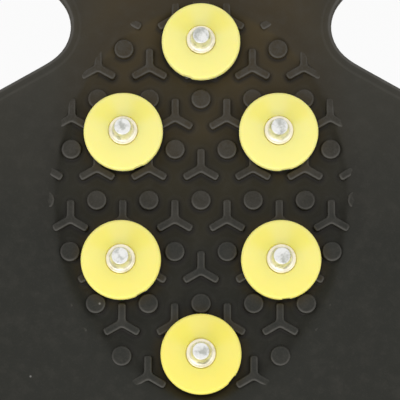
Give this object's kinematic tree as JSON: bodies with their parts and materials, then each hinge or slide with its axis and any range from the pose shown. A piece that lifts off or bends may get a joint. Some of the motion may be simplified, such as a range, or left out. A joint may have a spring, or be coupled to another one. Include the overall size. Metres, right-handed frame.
{
  "type": "ice cleat",
  "caption": "Slip-on rubber ice cleat with a lugged sole, yellow discs and steel studs, a rim loop that grips the shoe and a heel pull tab; the waist flexes.",
  "frame": {"origin": "middle of the footprint, in the plane of the rim's lower edge", "axes": "+Z out of the tread, +Y towards the toe, +X to the right with the tread in view; worn, the cleat is turned over and -Z points up"},
  "size_m": [0.1288, 0.235, 0.0398],
  "materials": {
    "rubber": "satin moulded rubber",
    "yellow_disc": "pale yellow moulded nylon",
    "stud_steel": "bright turned steel"
  },
  "bodies": {
    "forefoot": {"forefoot_pad": "rubber", "toe_strap": "rubber", "left_wing": "rubber", "right_wing": "rubber", "toe_rim": "rubber", "bridge": "rubber", "left_waist_band": "rubber", "right_waist_band": "rubber"},
    "heel": {"heel_pad": "rubber", "left_heel_wing": "rubber", "right_heel_wing": "rubber", "heel_strap": "rubber", "heel_rim": "rubber"},
    "forefoot_grip_1": {"forefoot_stud_1": "stud_steel", "forefoot_disc_1": "yellow_disc"},
    "forefoot_grip_2": {"forefoot_stud_2": "stud_steel", "forefoot_disc_2": "yellow_disc"},
    "forefoot_grip_3": {"forefoot_stud_3": "stud_steel", "forefoot_disc_3": "yellow_disc"},
    "forefoot_grip_4": {"forefoot_stud_4": "stud_steel", "forefoot_disc_4": "yellow_disc"},
    "forefoot_grip_5": {"forefoot_stud_5": "stud_steel", "forefoot_disc_5": "yellow_disc"},
    "forefoot_grip_6": {"forefoot_stud_6": "stud_steel", "forefoot_disc_6": "yellow_disc"},
    "heel_grip_1": {"heel_stud_1": "stud_steel", "heel_disc_1": "yellow_disc"},
    "heel_grip_2": {"heel_stud_2": "stud_steel", "heel_disc_2": "yellow_disc"},
    "heel_grip_3": {"heel_stud_3": "stud_steel", "heel_disc_3": "yellow_disc"},
    "heel_grip_4": {"heel_stud_4": "stud_steel", "heel_disc_4": "yellow_disc"}
  },
  "joints": [
    {"name": "sole_flex", "type": "hinge", "parent": "forefoot", "child": "heel", "pos_m": [0, -0.0195, 0.0325], "axis": [1, 0, 0], "range_deg": [-25, 35], "stiffness_Nm_per_rad": 0.6, "deforming": ["bridge", "left_waist_band", "right_waist_band"]},
    {"name": "forefoot_grip_1_turn", "type": "hinge", "parent": "forefoot", "child": "forefoot_grip_1", "pos_m": [0, 0.073, 0.034], "axis": [0, 0, 1], "continuous": true},
    {"name": "forefoot_grip_2_turn", "type": "hinge", "parent": "forefoot", "child": "forefoot_grip_2", "pos_m": [-0.0157, 0.0541, 0.034], "axis": [0, 0, 1], "continuous": true},
    {"name": "forefoot_grip_3_turn", "type": "hinge", "parent": "forefoot", "child": "forefoot_grip_3", "pos_m": [0.0157, 0.0541, 0.034], "axis": [0, 0, 1], "continuous": true},
    {"name": "forefoot_grip_4_turn", "type": "hinge", "parent": "forefoot", "child": "forefoot_grip_4", "pos_m": [-0.016, 0.0279, 0.034], "axis": [0, 0, 1], "continuous": true},
    {"name": "forefoot_grip_5_turn", "type": "hinge", "parent": "forefoot", "child": "forefoot_grip_5", "pos_m": [0.016, 0.0279, 0.034], "axis": [0, 0, 1], "continuous": true},
    {"name": "forefoot_grip_6_turn", "type": "hinge", "parent": "forefoot", "child": "forefoot_grip_6", "pos_m": [0, 0.009, 0.034], "axis": [0, 0, 1], "continuous": true},
    {"name": "heel_grip_1_turn", "type": "hinge", "parent": "heel", "child": "heel_grip_1", "pos_m": [0, -0.0385, 0.034], "axis": [0, 0, 1], "continuous": true},
    {"name": "heel_grip_2_turn", "type": "hinge", "parent": "heel", "child": "heel_grip_2", "pos_m": [-0.016, -0.056, 0.034], "axis": [0, 0, 1], "continuous": true},
    {"name": "heel_grip_3_turn", "type": "hinge", "parent": "heel", "child": "heel_grip_3", "pos_m": [0.016, -0.056, 0.034], "axis": [0, 0, 1], "continuous": true},
    {"name": "heel_grip_4_turn", "type": "hinge", "parent": "heel", "child": "heel_grip_4", "pos_m": [0, -0.0735, 0.034], "axis": [0, 0, 1], "continuous": true}
  ]
}
